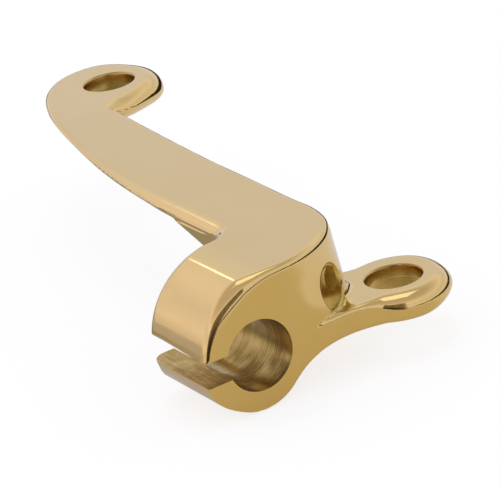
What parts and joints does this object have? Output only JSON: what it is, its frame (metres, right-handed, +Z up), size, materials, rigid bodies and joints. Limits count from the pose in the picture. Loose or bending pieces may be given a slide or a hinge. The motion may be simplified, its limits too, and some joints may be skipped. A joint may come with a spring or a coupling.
{
  "type": "cast rod lever",
  "caption": "Polished brass casting with a slotted rod bore, a flat arm to a hooked eyelet, a short ear with a second eyelet, and an oblique set screw.",
  "frame": {"origin": "on the rod bore's axis, at the casting's front face", "axes": "+Y back along the bore and the arm, +X towards the short ear, +Z up, square to the faces of both eyelets"},
  "size_m": [0.052, 0.1173, 0.0223],
  "materials": {
    "polished_brass": "mirror-polished casting, turned bore and milled slot left satin",
    "screw_brass": "machined satin"
  },
  "bodies": {
    "casting": {"lever_body": "polished_brass"},
    "screw": {"set_screw": "screw_brass"}
  },
  "joints": [
    {"name": "set_screw_travel", "type": "slide", "parent": "casting", "child": "screw", "axis": [0.6826, -0.7027, 0.2008], "range_m": [0, 0.004]}
  ]
}
